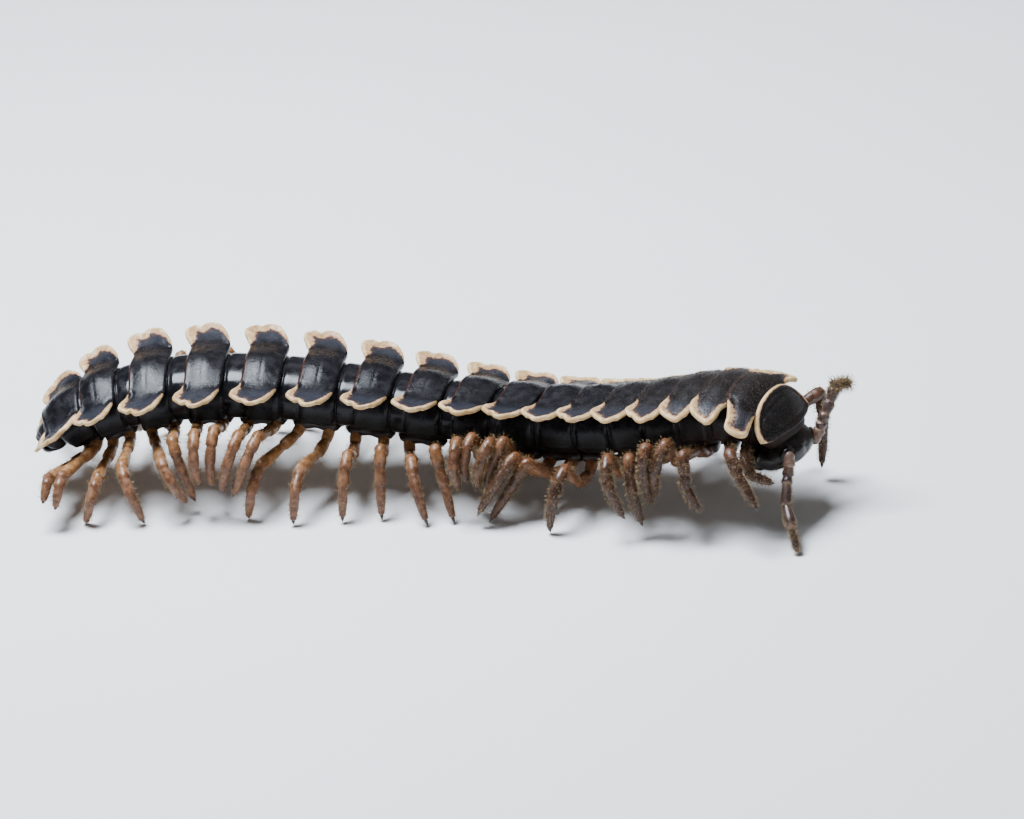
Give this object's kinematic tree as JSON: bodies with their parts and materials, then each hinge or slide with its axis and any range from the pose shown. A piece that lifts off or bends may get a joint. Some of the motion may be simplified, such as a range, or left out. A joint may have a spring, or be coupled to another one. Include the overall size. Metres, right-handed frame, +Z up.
{
  "type": "flat-backed millipede",
  "caption": "Still, life-size museum model of a flat-backed millipede: a bending row of hard rings with flat side keels, a bowed head with two antennae, and walking legs.",
  "frame": {"origin": "centre of the model's bounding box, on the floor that its feet stand on", "axes": "+X runs along the animal from tail to head, which turns towards -Y; +Z is up; +Y is the animal's left"},
  "size_m": [0.0468, 0.0238, 0.0082],
  "materials": {
    "black_back": "satin",
    "black_face": "satin",
    "brown_antenna": "satin",
    "amber_leg": "satin"
  },
  "bodies": {
    "root": {"head": "black_face", "mouthparts": "black_face", "antenna_left": "brown_antenna", "antenna_right": "brown_antenna", "collum": "black_back", "ring_02": "black_back", "ring_03": "black_back", "ring_04": "black_back", "ring_05": "black_back", "ring_06": "black_back", "ring_07": "black_back", "ring_08": "black_back", "ring_09": "black_back", "ring_10": "black_back", "ring_11": "black_back", "ring_12": "black_back", "ring_13": "black_back", "ring_14": "black_back", "ring_15": "black_back", "ring_16": "black_back", "ring_17": "black_back", "ring_18": "black_back", "ring_19": "black_back", "telson": "black_back", "gonopods": "amber_leg", "legs_02_left": "amber_leg", "legs_02_right": "amber_leg", "legs_03_left": "amber_leg", "legs_03_right": "amber_leg", "legs_04_left": "amber_leg", "legs_04_right": "amber_leg", "legs_05_left": "amber_leg", "legs_05_right": "amber_leg", "legs_06_left": "amber_leg", "legs_06_right": "amber_leg", "legs_07_left": "amber_leg", "legs_07_right": "amber_leg", "legs_08_left": "amber_leg", "legs_08_right": "amber_leg", "legs_09_left": "amber_leg", "legs_09_right": "amber_leg", "legs_10_left": "amber_leg", "legs_10_right": "amber_leg", "legs_11_left": "amber_leg", "legs_11_right": "amber_leg", "legs_12_left": "amber_leg", "legs_12_right": "amber_leg", "legs_13_left": "amber_leg", "legs_13_right": "amber_leg", "legs_14_left": "amber_leg", "legs_14_right": "amber_leg", "legs_15_left": "amber_leg", "legs_15_right": "amber_leg", "legs_16_left": "amber_leg", "legs_16_right": "amber_leg", "legs_17_left": "amber_leg", "legs_17_right": "amber_leg", "legs_18_left": "amber_leg", "legs_18_right": "amber_leg"}
  },
  "joints": []
}
